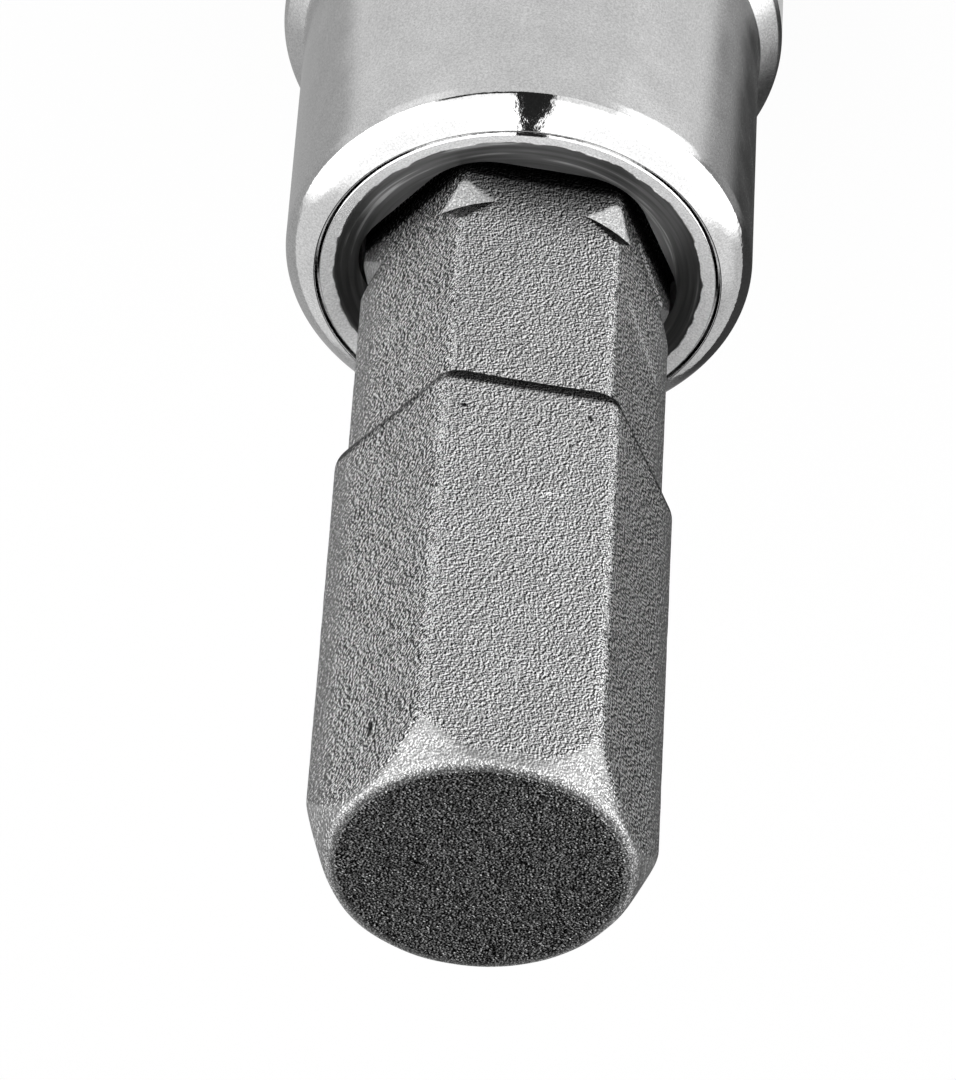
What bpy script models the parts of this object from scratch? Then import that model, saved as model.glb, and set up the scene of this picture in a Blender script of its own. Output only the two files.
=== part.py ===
"""Hex bit socket: a turned body, a hexagonal bit that plugs into it and the spring ring that grips the bit.

Units are metres. The socket stands on its drive end: the origin is the centre of the drive face,
and +Z runs along the axis to the tip of the bit.
"""

import math

import bmesh
import bpy
from mathutils import Matrix, Vector

# Socket body, outside
NOSE_LENGTH = 0.01235
NOSE_WALL = 0.00161
NOSE_EDGE_RADIUS = 0.00105
DRIVE_WALL = 0.00218
DRIVE_EDGE_RADIUS = 0.0009
SHOULDER_RISE = 0.0008
SHOULDER_RADIUS = 0.0005

# Square drive hole
DRIVE_SQUARE = 0.0096
DRIVE_CORNER_RADIUS = 0.0004
DRIVE_DEPTH = 0.0110
LEAD_IN_WIDTH = 0.0013
DETENT_GROOVE_DEPTH = 0.0008
DETENT_GROOVE_WIDTH = 0.0030
DETENT_HEIGHT = 0.0055

# Hexagonal bore in the nose, and the web that closes it off from the square hole
BORE_DEPTH = 0.0106
COUNTERSINK_WIDTH = 0.00082
COUNTERSINK_SLOPE = math.radians(20)
WEB_THICKNESS = 0.0018
KNOCK_OUT_DIAMETER = 0.0060
DRILL_ALLOWANCE = 0.0003

# Bit
BIT_ACROSS_FLATS = 0.0100
BIT_CORNER_RADIUS = 0.0006
BIT_REACH = 0.0266
BLADE_LENGTH = 0.0169
TIP_CHAMFER_WIDTH = 0.00078
TIP_CHAMFER_SLOPE = math.radians(63)
TIP_EDGE_RADIUS = 0.0006
STEP_RISE = 0.00035
STEP_CHAMFER_WIDTH = 0.00053
STEP_CHAMFER_SLOPE = math.radians(40)
SHANK_CORNER_RADIUS = 0.0005
SHANK_ROOT = 0.0025
SHANK_END_CHAMFER = 0.0006
NOTCH_DEPTH = 0.0004
NOTCH_OFFSET = 0.0012
NOTCH_LONG_FLANK = 0.0008
NOTCH_SHORT_FLANK = 0.0003

# Spring ring
RING_WIRE = 0.0009
RING_DEPTH = 0.0045
RING_OPENING = math.radians(40)

# Fits
BORE_CLEARANCE = 0.0001
SEAT_CLEARANCE = 0.0001
RING_CLEARANCE = 0.0001

# Mesh fineness, and how far a cutter stands out of what it cuts
TURN_STEPS = 72
ARC_STEPS = 6
RING_STEPS = 48
WELD_DISTANCE = 1e-7
SHARP_ANGLE = math.radians(30)
OVERCUT = 0.0005

HEXAGON = 6
SQUARE = 4


def corner_reach(sides, across_flats, corner_radius=0.0):
    """Distance from the axis to the corner of a regular bar."""
    half_turn = math.pi / sides
    return (across_flats / 2 - corner_radius) / math.cos(half_turn) + corner_radius


# Sizes that follow from those above
SHANK_ACROSS_FLATS = BIT_ACROSS_FLATS - 2 * STEP_RISE
BORE_ACROSS_FLATS = SHANK_ACROSS_FLATS + 2 * BORE_CLEARANCE
BIT_CORNER = corner_reach(HEXAGON, BIT_ACROSS_FLATS, BIT_CORNER_RADIUS)
SHANK_CORNER = corner_reach(HEXAGON, SHANK_ACROSS_FLATS, SHANK_CORNER_RADIUS)
BORE_CORNER = corner_reach(HEXAGON, BORE_ACROSS_FLATS)
DRIVE_CORNER = corner_reach(SQUARE, DRIVE_SQUARE, DRIVE_CORNER_RADIUS)
RING_RADIUS = SHANK_CORNER + RING_CLEARANCE + RING_WIRE / 2
RING_GROOVE_RADIUS = RING_RADIUS + RING_WIRE / 2 + RING_CLEARANCE
NOSE_RADIUS = RING_GROOVE_RADIUS + NOSE_WALL
DRIVE_END_RADIUS = DRIVE_CORNER + DRIVE_WALL
BORE_FLOOR = DRIVE_DEPTH + WEB_THICKNESS
BODY_LENGTH = BORE_FLOOR + BORE_DEPTH
SHOULDER_HEIGHT = BODY_LENGTH - NOSE_LENGTH
SEAT_HEIGHT = BORE_FLOOR + SEAT_CLEARANCE
RING_HEIGHT = BODY_LENGTH - RING_DEPTH
BIT_LENGTH = BODY_LENGTH - SEAT_HEIGHT + BIT_REACH
STEP_HEIGHT = BIT_LENGTH - BLADE_LENGTH


def clear_scene():
    for old in list(bpy.data.objects):
        bpy.data.objects.remove(old, do_unlink=True)


def metal(name, colour, roughness):
    material = bpy.data.materials.new(name)
    material.use_nodes = True
    shader = material.node_tree.nodes["Principled BSDF"]
    shader.inputs["Base Color"].default_value = (*colour, 1.0)
    shader.inputs["Metallic"].default_value = 1.0
    shader.inputs["Roughness"].default_value = roughness
    return material


def place(name, bm, material=None, height=0.0, parent=None):
    """A named object from a bmesh. Without a material it is a cutter, which isn't rendered."""
    bmesh.ops.recalc_face_normals(bm, faces=bm.faces)
    mesh = bpy.data.meshes.new(name)
    bm.to_mesh(mesh)
    bm.free()
    mesh.shade_smooth()
    mesh.set_sharp_from_angle(angle=SHARP_ANGLE)
    piece = bpy.data.objects.new(name, mesh)
    bpy.context.scene.collection.objects.link(piece)
    piece.location.z = height
    piece.parent = parent
    if material is None:
        piece.hide_render = True
        piece.display_type = "WIRE"
    else:
        mesh.materials.append(material)
    return piece


def boolean(piece, tool, operation):
    modifier = piece.modifiers.new(f"{operation} {tool.name}", "BOOLEAN")
    modifier.operation = operation
    modifier.solver = "EXACT"
    modifier.object = tool


def cut_at_once(piece, tools):
    """Takes overlapping cutters out of a piece in one cut, which leaves no slivers between them."""
    group = bpy.data.collections.new(f"{piece.name} cutters")
    bpy.context.scene.collection.children.link(group)
    for tool in tools:
        group.objects.link(tool)
    modifier = piece.modifiers.new("cavities", "BOOLEAN")
    modifier.operation = "DIFFERENCE"
    modifier.solver = "EXACT"
    modifier.operand_type = "COLLECTION"
    modifier.collection = group


def rounded(profile):
    """Points of a profile whose corners are given as (r, z) or, with a fillet, as (r, z, radius)."""
    points = []
    for index, (r, z, *fillet) in enumerate(profile):
        corner = Vector((r, z))
        if not fillet:
            points.append(corner)
            continue
        to_last = (Vector(profile[index - 1][:2]) - corner).normalized()
        to_next = (Vector(profile[index + 1][:2]) - corner).normalized()
        half = to_last.angle(to_next) / 2
        centre = corner + (to_last + to_next).normalized() * fillet[0] / math.sin(half)
        start = corner + to_last * fillet[0] / math.tan(half) - centre
        end = corner + to_next * fillet[0] / math.tan(half) - centre
        sweep = start.angle_signed(end)
        for step in range(ARC_STEPS + 1):
            points.append(centre + Matrix.Rotation(-sweep * step / ARC_STEPS, 2) @ start)
    return points


def turned(profile):
    """A solid of revolution about Z, from a profile that starts and ends on the axis."""
    bm = bmesh.new()
    line = [bm.verts.new((r, 0.0, z)) for r, z in rounded(profile)]
    edges = [bm.edges.new(pair) for pair in zip(line, line[1:])]
    bmesh.ops.spin(
        bm,
        geom=line + edges,
        cent=(0, 0, 0),
        axis=(0, 0, 1),
        angle=2 * math.pi,
        steps=TURN_STEPS,
        use_merge=True,
    )
    bmesh.ops.remove_doubles(bm, verts=bm.verts, dist=WELD_DISTANCE)
    return bm


def bar(sides, across_flats, corner_radius, low, high, first_corner=0.0):
    """A regular bar along Z with rounded corners."""
    half_turn = math.pi / sides
    centre = (across_flats / 2 - corner_radius) / math.cos(half_turn)
    steps = ARC_STEPS if corner_radius else 0
    bm = bmesh.new()
    outline = []
    for corner in range(sides):
        middle = first_corner + 2 * half_turn * corner
        for step in range(steps + 1):
            share = step / steps - 0.5 if steps else 0.0
            angle = middle + 2 * half_turn * share
            x = centre * math.cos(middle) + corner_radius * math.cos(angle)
            y = centre * math.sin(middle) + corner_radius * math.sin(angle)
            outline.append(bm.verts.new((x, y, low)))
    base = bm.faces.new(outline)
    grown = bmesh.ops.extrude_face_region(bm, geom=[base])
    top = [item for item in grown["geom"] if isinstance(item, bmesh.types.BMVert)]
    bmesh.ops.translate(bm, verts=top, vec=(0, 0, high - low))
    return bm


def make_body(chrome):
    body = place(
        "socket_body",
        turned(
            [
                (0, BODY_LENGTH),
                (NOSE_RADIUS, BODY_LENGTH, NOSE_EDGE_RADIUS),
                (NOSE_RADIUS, SHOULDER_HEIGHT + SHOULDER_RISE),
                (DRIVE_END_RADIUS, SHOULDER_HEIGHT, SHOULDER_RADIUS),
                (DRIVE_END_RADIUS, 0, DRIVE_EDGE_RADIUS),
                (0, 0),
            ]
        ),
        chrome,
    )
    cut_at_once(body, [bore_drill(body), bore_broach(body), drive_drill(body), drive_broach(body)])
    return body


def bore_drill(body):
    """The round work in the nose: countersink, drilled core, groove for the ring and knock-out hole."""
    core = BORE_ACROSS_FLATS / 2 - DRILL_ALLOWANCE
    slope = math.tan(COUNTERSINK_SLOPE)
    sink = BORE_CORNER + COUNTERSINK_WIDTH
    half_groove = RING_WIRE / 2 + RING_CLEARANCE
    profile = [
        (0, BODY_LENGTH + OVERCUT),
        (sink + OVERCUT / slope, BODY_LENGTH + OVERCUT),
        (core, BODY_LENGTH - (sink - core) * slope),
        (core, RING_HEIGHT + half_groove),
        (RING_GROOVE_RADIUS, RING_HEIGHT + half_groove),
        (RING_GROOVE_RADIUS, RING_HEIGHT - half_groove),
        (core, RING_HEIGHT - half_groove),
        (core, BORE_FLOOR - DRILL_ALLOWANCE),
        (KNOCK_OUT_DIAMETER / 2, BORE_FLOOR - DRILL_ALLOWANCE),
        (KNOCK_OUT_DIAMETER / 2, DRIVE_DEPTH - OVERCUT),
        (0, DRIVE_DEPTH - OVERCUT),
    ]
    return place("bore_drill", turned(profile), parent=body)


def bore_broach(body):
    """The hexagon that the shank of the bit fits."""
    hexagon = bar(HEXAGON, BORE_ACROSS_FLATS, 0, BORE_FLOOR, BODY_LENGTH + OVERCUT)
    return place("bore_broach", hexagon, parent=body)


def drive_drill(body):
    """The round work in the drive end: lead-in cone, drilled core and detent groove."""
    core = DRIVE_SQUARE / 2 - DRILL_ALLOWANCE
    lead = DRIVE_SQUARE / 2 + LEAD_IN_WIDTH
    groove = DRIVE_SQUARE / 2 + DETENT_GROOVE_DEPTH
    groove_top = DETENT_HEIGHT + DETENT_GROOVE_WIDTH / 2
    groove_base = DETENT_HEIGHT - DETENT_GROOVE_WIDTH / 2
    profile = [
        (0, DRIVE_DEPTH + DRILL_ALLOWANCE),
        (core, DRIVE_DEPTH + DRILL_ALLOWANCE),
        (core, groove_top),
        (groove, groove_top),
        (groove, groove_base),
        (core, groove_base),
        (core, lead - core),
        (lead + OVERCUT, -OVERCUT),
        (0, -OVERCUT),
    ]
    return place("drive_drill", turned(profile), parent=body)


def drive_broach(body):
    """The square that the drive tang of a ratchet fits, with its flats facing X and Y."""
    square = bar(SQUARE, DRIVE_SQUARE, DRIVE_CORNER_RADIUS, -OVERCUT, DRIVE_DEPTH, math.pi / SQUARE)
    return place("drive_broach", square, parent=body)


def make_bit(steel):
    """The bit, measured from the end of its shank: a hexagonal blade and a slimmer hexagonal shank."""
    blade = bar(HEXAGON, BIT_ACROSS_FLATS, BIT_CORNER_RADIUS, STEP_HEIGHT, BIT_LENGTH + OVERCUT)
    bit = place("hex_bit", blade, steel, SEAT_HEIGHT)
    boolean(bit, blade_turning(bit), "INTERSECT")
    shank = place(
        "bit_shank",
        bar(HEXAGON, SHANK_ACROSS_FLATS, SHANK_CORNER_RADIUS, -OVERCUT, STEP_HEIGHT + SHANK_ROOT),
        parent=bit,
    )
    boolean(shank, shank_turning(bit), "INTERSECT")
    boolean(bit, shank, "UNION")
    return bit


def blade_turning(bit):
    """What the lathe leaves of the blade: a chamfered tip and chamfered corners at the step."""
    outside = BIT_CORNER + OVERCUT
    tip = BIT_CORNER - TIP_CHAMFER_WIDTH
    tip_slope = math.tan(TIP_CHAMFER_SLOPE)
    step = BIT_CORNER - STEP_CHAMFER_WIDTH
    step_slope = math.tan(STEP_CHAMFER_SLOPE)
    profile = [
        (0, BIT_LENGTH),
        (tip, BIT_LENGTH, TIP_EDGE_RADIUS),
        (outside, BIT_LENGTH - (outside - tip) * tip_slope),
        (outside, STEP_HEIGHT + (outside - step) * step_slope),
        (step - OVERCUT / step_slope, STEP_HEIGHT - OVERCUT),
        (0, STEP_HEIGHT - OVERCUT),
    ]
    return place("blade_turning", turned(profile), parent=bit)


def shank_turning(bit):
    """What the lathe leaves of the shank: a chamfered end, and the notches across its corners."""
    outside = SHANK_CORNER + OVERCUT
    root = SHANK_CORNER - NOTCH_DEPTH
    notch = BODY_LENGTH + NOTCH_OFFSET - SEAT_HEIGHT
    reach = (outside - root) / NOTCH_DEPTH
    profile = [
        (0, STEP_HEIGHT + SHANK_ROOT + OVERCUT),
        (outside, STEP_HEIGHT + SHANK_ROOT + OVERCUT),
        (outside, notch + NOTCH_SHORT_FLANK * reach),
        (root, notch),
        (outside, notch - NOTCH_LONG_FLANK * reach),
        (outside, SHANK_END_CHAMFER + OVERCUT),
        (SHANK_CORNER - SHANK_END_CHAMFER, 0),
        (0, 0),
    ]
    return place("shank_turning", turned(profile), parent=bit)


def make_ring(steel):
    """The spring ring: a split hoop of round wire in its groove, which grips the corners of the shank."""
    curve = bpy.data.curves.new("retaining_ring", "CURVE")
    curve.dimensions = "3D"
    curve.bevel_depth = RING_WIRE / 2
    curve.bevel_resolution = 2
    curve.use_fill_caps = True
    wire = curve.splines.new("POLY")
    wire.points.add(RING_STEPS)
    for step, point in enumerate(wire.points):
        angle = RING_OPENING / 2 + (2 * math.pi - RING_OPENING) * step / RING_STEPS
        point.co = (RING_RADIUS * math.cos(angle), RING_RADIUS * math.sin(angle), 0, 1)
    ring = bpy.data.objects.new("retaining_ring", curve)
    bpy.context.scene.collection.objects.link(ring)
    ring.location.z = RING_HEIGHT
    curve.materials.append(steel)
    return ring


def main():
    clear_scene()
    make_body(metal("plated chrome", (0.77, 0.77, 0.77), 0.12))
    make_bit(metal("blasted steel", (0.42, 0.42, 0.42), 0.5))
    make_ring(metal("spring steel", (0.45, 0.45, 0.47), 0.3))


main()
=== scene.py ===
"""Looks of the hex bit socket: plated body, grit-blasted bit, spring ring, and the studio they stand in."""

import math

import bmesh
import bpy
from mathutils import Matrix, Vector, noise


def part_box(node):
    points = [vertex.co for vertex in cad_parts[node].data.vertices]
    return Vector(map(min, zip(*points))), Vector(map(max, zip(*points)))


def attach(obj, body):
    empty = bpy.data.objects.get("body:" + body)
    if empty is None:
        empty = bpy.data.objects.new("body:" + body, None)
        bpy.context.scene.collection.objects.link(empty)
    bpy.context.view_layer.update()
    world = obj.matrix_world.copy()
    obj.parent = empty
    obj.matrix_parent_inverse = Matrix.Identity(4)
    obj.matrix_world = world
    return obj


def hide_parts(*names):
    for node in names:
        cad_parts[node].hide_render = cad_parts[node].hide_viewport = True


bl_info = {
    "name": "Hex bit socket",
    "version": (1, 0, 0),
    "blender": (4, 5, 0),
    "location": "3D View > Sidebar > Socket",
    "description": "Builds the finished pieces of a hex bit socket around its packed solids, and a studio",
    "category": "Object",
}

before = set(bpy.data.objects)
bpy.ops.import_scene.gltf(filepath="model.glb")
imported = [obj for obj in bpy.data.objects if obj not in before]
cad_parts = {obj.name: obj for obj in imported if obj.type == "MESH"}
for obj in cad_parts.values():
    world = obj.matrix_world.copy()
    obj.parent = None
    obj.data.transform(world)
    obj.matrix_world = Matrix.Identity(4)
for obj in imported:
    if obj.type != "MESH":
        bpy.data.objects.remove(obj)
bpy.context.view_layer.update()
BODY_LOW, BODY_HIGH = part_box("socket_body")
BIT_LOW, BIT_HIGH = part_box("hex_bit")
RING_LOW, RING_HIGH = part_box("retaining_ring")

MM = 0.001
HEXAGON = 6
SQUARE = 4


def length(name, description, default):
    """A length property, in metres."""
    return bpy.props.FloatProperty(
        name=name, description=description, default=default, min=0.0, precision=5, unit="LENGTH"
    )


def angle(name, description, degrees):
    """An angle property, given in degrees."""
    return bpy.props.FloatProperty(
        name=name, description=description, default=math.radians(degrees), subtype="ANGLE", unit="ROTATION"
    )


def colour(name, description, default):
    """A colour property."""
    return bpy.props.FloatVectorProperty(
        name=name, description=description, default=default, size=3, min=0.0, max=1.0, subtype="COLOR"
    )


def amount(name, description, default):
    """A plain number."""
    return bpy.props.FloatProperty(name=name, description=description, default=default, min=0.0)


class BodySizes(bpy.types.PropertyGroup):
    """Sizes of the turned and plated body."""

    nose_radius: length("Nose radius", "Radius of the round nose", 8.0 * MM)
    nose_length: length("Nose length", "From the mouth down to the shoulder", 12.35 * MM)
    band_width: length("Band width", "Width of the polished band round the front of the nose", 1.05 * MM)
    band_height: length("Band height", "Height of the polished band", 0.94 * MM)
    band_edge: length("Band edge", "Rounding between the nose and the band", 0.8 * MM)
    band_bulge: length("Band bulge", "How far the band's middle stands out from a straight bevel", 0.13 * MM)
    band_round: length("Band rounding", "Rounding of the middle of the band", 1.6 * MM)
    line_width: length("Line width", "Width of the fine line turned inside the band", 0.19 * MM)
    line_depth: length("Line depth", "Depth of the fine line", 0.13 * MM)
    shoulder_rise: length("Shoulder rise", "Height of the slope between nose and drive end", 0.8 * MM)
    shoulder_edge: length("Shoulder edge", "Rounding at the top of the drive end", 0.5 * MM)
    shoulder_root: length("Shoulder root", "Rounding where the shoulder meets the nose", 0.25 * MM)
    drive_edge: length("Drive edge", "Rounding of the outer edge of the drive face", 0.9 * MM)
    lead_in: length("Lead-in", "Radius of the cone at the mouth of the square hole", 6.1 * MM)
    square: length("Square", "Across flats of the square drive hole", 9.6 * MM)
    square_corner: length("Square corner", "Rounding of the corners of the square", 0.4 * MM)
    square_depth: length("Square depth", "Depth of the square drive hole", 11.0 * MM)
    detent_radius: length("Detent radius", "Radius of the groove for the detent ball", 5.6 * MM)
    detent_width: length("Detent width", "Width of the groove for the detent ball", 3.0 * MM)
    detent_height: length("Detent height", "Middle of the detent groove above the drive face", 5.5 * MM)
    ring_radius: length("Ring radius", "Inner radius of the light ring round the mouth", 6.3 * MM)
    ring_slope: angle("Ring slope", "Inward slope of the light ring", 20.0)
    mouth: length("Mouth", "Across flats of the widened mouth of the bore", 10.2 * MM)
    mouth_corner: length("Mouth corner", "Rounding of the corners of the widened mouth", 2.6 * MM)
    mouth_slope: angle("Mouth slope", "Slope of the dark face round the mouth", 3.0)
    mouth_depth: length("Mouth depth", "Depth of the widened mouth, where the bore starts", 1.3 * MM)
    bore: length("Bore", "Across flats of the hexagonal bore", 9.5 * MM)
    bore_floor: length("Bore floor", "Height of the floor of the bore above the drive face", 12.8 * MM)
    knock_out: length("Knock-out radius", "Radius of the hole between bore and square", 3.0 * MM)
    drill_allowance: length("Drill allowance", "How far the drills stay off the flats or run on", 0.3 * MM)
    soft_edge: length("Soft edge", "Rounding that the plating leaves on small edges", 0.08 * MM)
    edge_wander: length("Edge wander", "How far the ring's inner edge wanders", 0.1 * MM)


class BitSizes(bpy.types.PropertyGroup):
    """Sizes of the hexagonal bit."""

    blade: length("Blade", "Across flats of the blade", BIT_HIGH.y - BIT_LOW.y)
    blade_corner: length("Blade corner", "Rounding of the corners of the blade", 0.6 * MM)
    blade_length: length("Blade length", "From the step to the tip", 17.2 * MM)
    shank: length("Shank", "Across flats of the shank", 9.3 * MM)
    shank_corner: length("Shank corner", "Rounding of the corners of the shank", 0.5 * MM)
    shank_chamfer: length("Shank chamfer", "Chamfer at the inner end of the shank", 0.6 * MM)
    tip_face: length("Tip face", "Radius at which the tip's chamfer would meet its flat face", 4.9 * MM)
    tip_slope: angle("Tip slope", "Slope of the tip's chamfer from the flat face", 63.0)
    tip_edge: length("Tip edge", "Rounding between the tip's face and its chamfer", 0.5 * MM)
    step_face: length("Step face", "Radius of the round face of the step", 5.27 * MM)
    step_slope: angle("Step slope", "Slope of the chamfer on the step's corners", 40.0)
    step_edge: length("Step edge", "Rounding from the shank's flats up to the blade's", 1.25 * MM)
    notch_root: length("Notch root", "Radius at the root of the corner notches", 4.89 * MM)
    notch_offset: length("Notch offset", "Root of the notches above the mouth", 1.2 * MM)
    notch_long: length("Notch long flank", "Length of the flank on the socket's side", 0.8 * MM)
    notch_short: length("Notch short flank", "Length of the flank on the tip's side", 0.95 * MM)
    blast_rounding: length("Blast rounding", "How far the blasting rounds the edges", 0.16 * MM)
    blast_wander: length("Blast wander", "How far the blasted faces wander from flat", 0.012 * MM)


class RingSizes(bpy.types.PropertyGroup):
    """Sizes of the spring ring."""

    wire: length("Wire", "Diameter of the wire", RING_HIGH.z - RING_LOW.z)
    radius: length("Radius", "Radius of the ring at the middle of the wire", 5.84 * MM)
    opening: angle("Opening", "Gap between the ends of the ring", 40.0)


class Finishes(bpy.types.PropertyGroup):
    """Colours and gloss of the surfaces, and the strengths of the painted shade and highlights on the bit.
    """

    chrome: colour("Chrome", "Colour of the plating", (0.70, 0.70, 0.70))
    chrome_gloss: amount("Chrome roughness", "Roughness of the polished band", 0.05)
    satin_gloss: amount("Satin roughness", "Roughness of the satin plating on the rest of the body", 0.2)
    band_ripple: length("Band ripple", "Height of the fine ripple on the polished band", 0.004 * MM)
    frost: colour("Frosted ring", "Colour of the frosted ring round the mouth", (0.78, 0.78, 0.78))
    frost_metal: amount("Frosted metal", "How metallic the frosted ring looks", 0.1)
    frost_gloss: amount("Frosted roughness", "Roughness of the frosted ring", 0.5)
    recess: colour("Recess", "Colour of the bare steel inside the holes", (0.25, 0.25, 0.25))
    recess_gloss: amount("Recess roughness", "Roughness of the steel inside the holes", 0.38)
    steel: colour("Blasted steel", "Colour of the bit", (0.385, 0.385, 0.385))
    steel_gloss: amount("Steel roughness", "Roughness of the blasted steel", 0.42)
    steel_grain: length("Steel grain", "Size of one grain of the blasted surface", 0.072 * MM)
    steel_relief: length("Steel relief", "Height of the grain", 0.06 * MM)
    steel_contrast: amount("Steel contrast", "Contrast between lit and shaded sides of the grain", 8.0)
    # The tip's flat face is darkened by a painted shade, out to the end radius
    end_radius: length("End radius", "Radius of the dark flat face of the tip", 4.58 * MM)
    end_painted_shade: amount("End shade", "Lightness of the tip's flat face against the rest of the bit", 0.41)
    notch_shade: amount("Notch shade", "Lightness of the smooth facets of the notches", 1.05)
    # The chamfer's lightness grows towards its outer edge as a painted highlight
    chamfer_shade: amount("Chamfer shade", "Lightness of the burnished chamfer of the tip", 0.9)
    # Painted shade on the shank next to the mouth, fading out over the mouth fade
    mouth_painted_shade: amount("Mouth shade", "Lightness of the shank just outside the mouth", 0.22)
    mouth_fade: length("Mouth fade", "Distance from the mouth to the shank's full lightness", 2.3 * MM)
    wire: colour("Spring wire", "Colour of the drawn wire", (0.45, 0.45, 0.47))


class Studio(bpy.types.PropertyGroup):
    """Light, floor and camera."""

    floor: colour("Floor", "Colour of the floor", (0.93, 0.93, 0.93))
    floor_lift: amount("Floor lift", "Share of the floor's white that needs no light", 0.92)
    floor_mirrored: amount("Floor in reflections", "Brightness of the floor's white in reflections", 0.62)
    floor_size: length("Floor size", "Side of the floor", 6.0)
    light_distance: length("Light distance", "Distance of the soft lights", 0.9)
    light_level: amount("Light", "Brightness of all soft lights and cards", 1.0)
    ambient: amount("Ambient", "Brightness of the surroundings", 0.02)
    azimuth: angle("Azimuth", "Direction of the camera, from the front towards +X", 187.65)
    elevation: angle("Elevation", "Height of the camera above the horizon", 43.55)
    roll: angle("Roll", "Turn of the camera about its own axis", 180.0 + 3.779)
    lens: bpy.props.FloatProperty(name="Lens", description="Focal length in millimetres", default=237.29)
    tip_depth: length("Tip depth", "Distance of the tip along the camera's axis", 224.653 * MM)
    tip_drop: length("Tip drop", "How far the tip lies below the middle of the picture", 10.378 * MM)
    tip_shift: length("Tip shift", "How far the tip lies right of the middle of the picture", 0.072 * MM)


class Settings(bpy.types.PropertyGroup):
    """Everything that can be set."""

    body: bpy.props.PointerProperty(type=BodySizes)
    bit: bpy.props.PointerProperty(type=BitSizes)
    ring: bpy.props.PointerProperty(type=RingSizes)
    finish: bpy.props.PointerProperty(type=Finishes)
    studio: bpy.props.PointerProperty(type=Studio)


# Mesh tools

TURN_STEPS = 240
ARC_STEPS = 14
SHARP_ANGLE = math.radians(28)


def evenly(low, high, count):
    """Evenly spaced values from low to high."""
    return [low + (high - low) * step / count for step in range(count + 1)]


def between(low, high, count):
    """Evenly spaced values from low up to, but without, high."""
    return evenly(low, high, count)[:-1]


def rounded(profile):
    """Points of a closed profile whose corners are (r, z) or, with a fillet, (r, z, radius)."""
    points = []
    count = len(profile)
    for index, (r, z, *fillet) in enumerate(profile):
        corner = Vector((r, z))
        if not fillet:
            points.append(corner)
            continue
        to_last = (Vector(profile[index - 1][:2]) - corner).normalized()
        to_next = (Vector(profile[(index + 1) % count][:2]) - corner).normalized()
        half = to_last.angle(to_next) / 2
        centre = corner + (to_last + to_next).normalized() * fillet[0] / math.sin(half)
        start = corner + to_last * fillet[0] / math.tan(half) - centre
        end = corner + to_next * fillet[0] / math.tan(half) - centre
        sweep = start.angle_signed(end)
        for step in range(ARC_STEPS + 1):
            points.append(centre + Matrix.Rotation(-sweep * step / ARC_STEPS, 2) @ start)
    return points


def bridged(loops, closed):
    """A mesh of quads between loops of points that each run once round the axis."""
    bm = bmesh.new()
    rings = [[bm.verts.new(point) for point in loop] for loop in loops]
    pairs = list(zip(rings, rings[1:]))
    if closed:
        pairs.append((rings[-1], rings[0]))
    for lower, upper in pairs:
        for index in range(len(lower)):
            after = (index + 1) % len(lower)
            bm.faces.new((lower[index], lower[after], upper[after], upper[index]))
    return bm, rings


def bar(sides, across_flats, corner_radius, low, high, first_corner=0.0):
    """A regular bar along Z with rounded corners."""
    half_turn = math.pi / sides
    centre = (across_flats / 2 - corner_radius) / math.cos(half_turn)
    steps = ARC_STEPS if corner_radius else 0
    bm = bmesh.new()
    outline = []
    for corner in range(sides):
        middle = first_corner + 2 * half_turn * corner
        for step in range(steps + 1):
            share = step / steps - 0.5 if steps else 0.0
            turn = middle + 2 * half_turn * share
            x = centre * math.cos(middle) + corner_radius * math.cos(turn)
            y = centre * math.sin(middle) + corner_radius * math.sin(turn)
            outline.append(bm.verts.new((x, y, low)))
    base = bm.faces.new(outline)
    grown = bmesh.ops.extrude_face_region(bm, geom=[base])
    top = [item for item in grown["geom"] if isinstance(item, bmesh.types.BMVert)]
    bmesh.ops.translate(bm, verts=top, vec=(0, 0, high - low))
    return bm


def placed(name, bm):
    """A named object from a bmesh, with its normals outward."""
    bmesh.ops.recalc_face_normals(bm, faces=bm.faces)
    mesh = bpy.data.meshes.new(name)
    bm.to_mesh(mesh)
    bm.free()
    piece = bpy.data.objects.new(name, mesh)
    bpy.context.scene.collection.objects.link(piece)
    return piece


def cut(piece, cutters):
    """Takes cutters out of a piece for good, and removes them."""
    group = bpy.data.collections.new("cutters")
    bpy.context.scene.collection.children.link(group)
    for cutter in cutters:
        group.objects.link(cutter)
    modifier = piece.modifiers.new("cavities", "BOOLEAN")
    modifier.operation = "DIFFERENCE"
    modifier.solver = "EXACT"
    modifier.operand_type = "COLLECTION"
    modifier.collection = group
    bpy.context.view_layer.update()
    seen = piece.evaluated_get(bpy.context.evaluated_depsgraph_get())
    piece.data = bpy.data.meshes.new_from_object(seen)
    piece.modifiers.clear()
    for cutter in cutters:
        bpy.data.objects.remove(cutter, do_unlink=True)
    bpy.data.collections.remove(group)


def finish_piece(piece, material, body, node):
    """Shades a piece, hangs it under its body's empty and hides the packed solid it stands for."""
    piece.data.materials.clear()
    piece.data.materials.append(material)
    piece.data.shade_smooth()
    piece.data.set_sharp_from_angle(angle=SHARP_ANGLE)
    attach(piece, body)
    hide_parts(node)


# Materials

NOISE_LOW = 0.3
NOISE_HIGH = 0.7
# Places of the two values and of the result among the sockets of a mix node
MIX_SOCKETS = {"FLOAT": (2, 3, 0), "RGBA": (6, 7, 2)}


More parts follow.
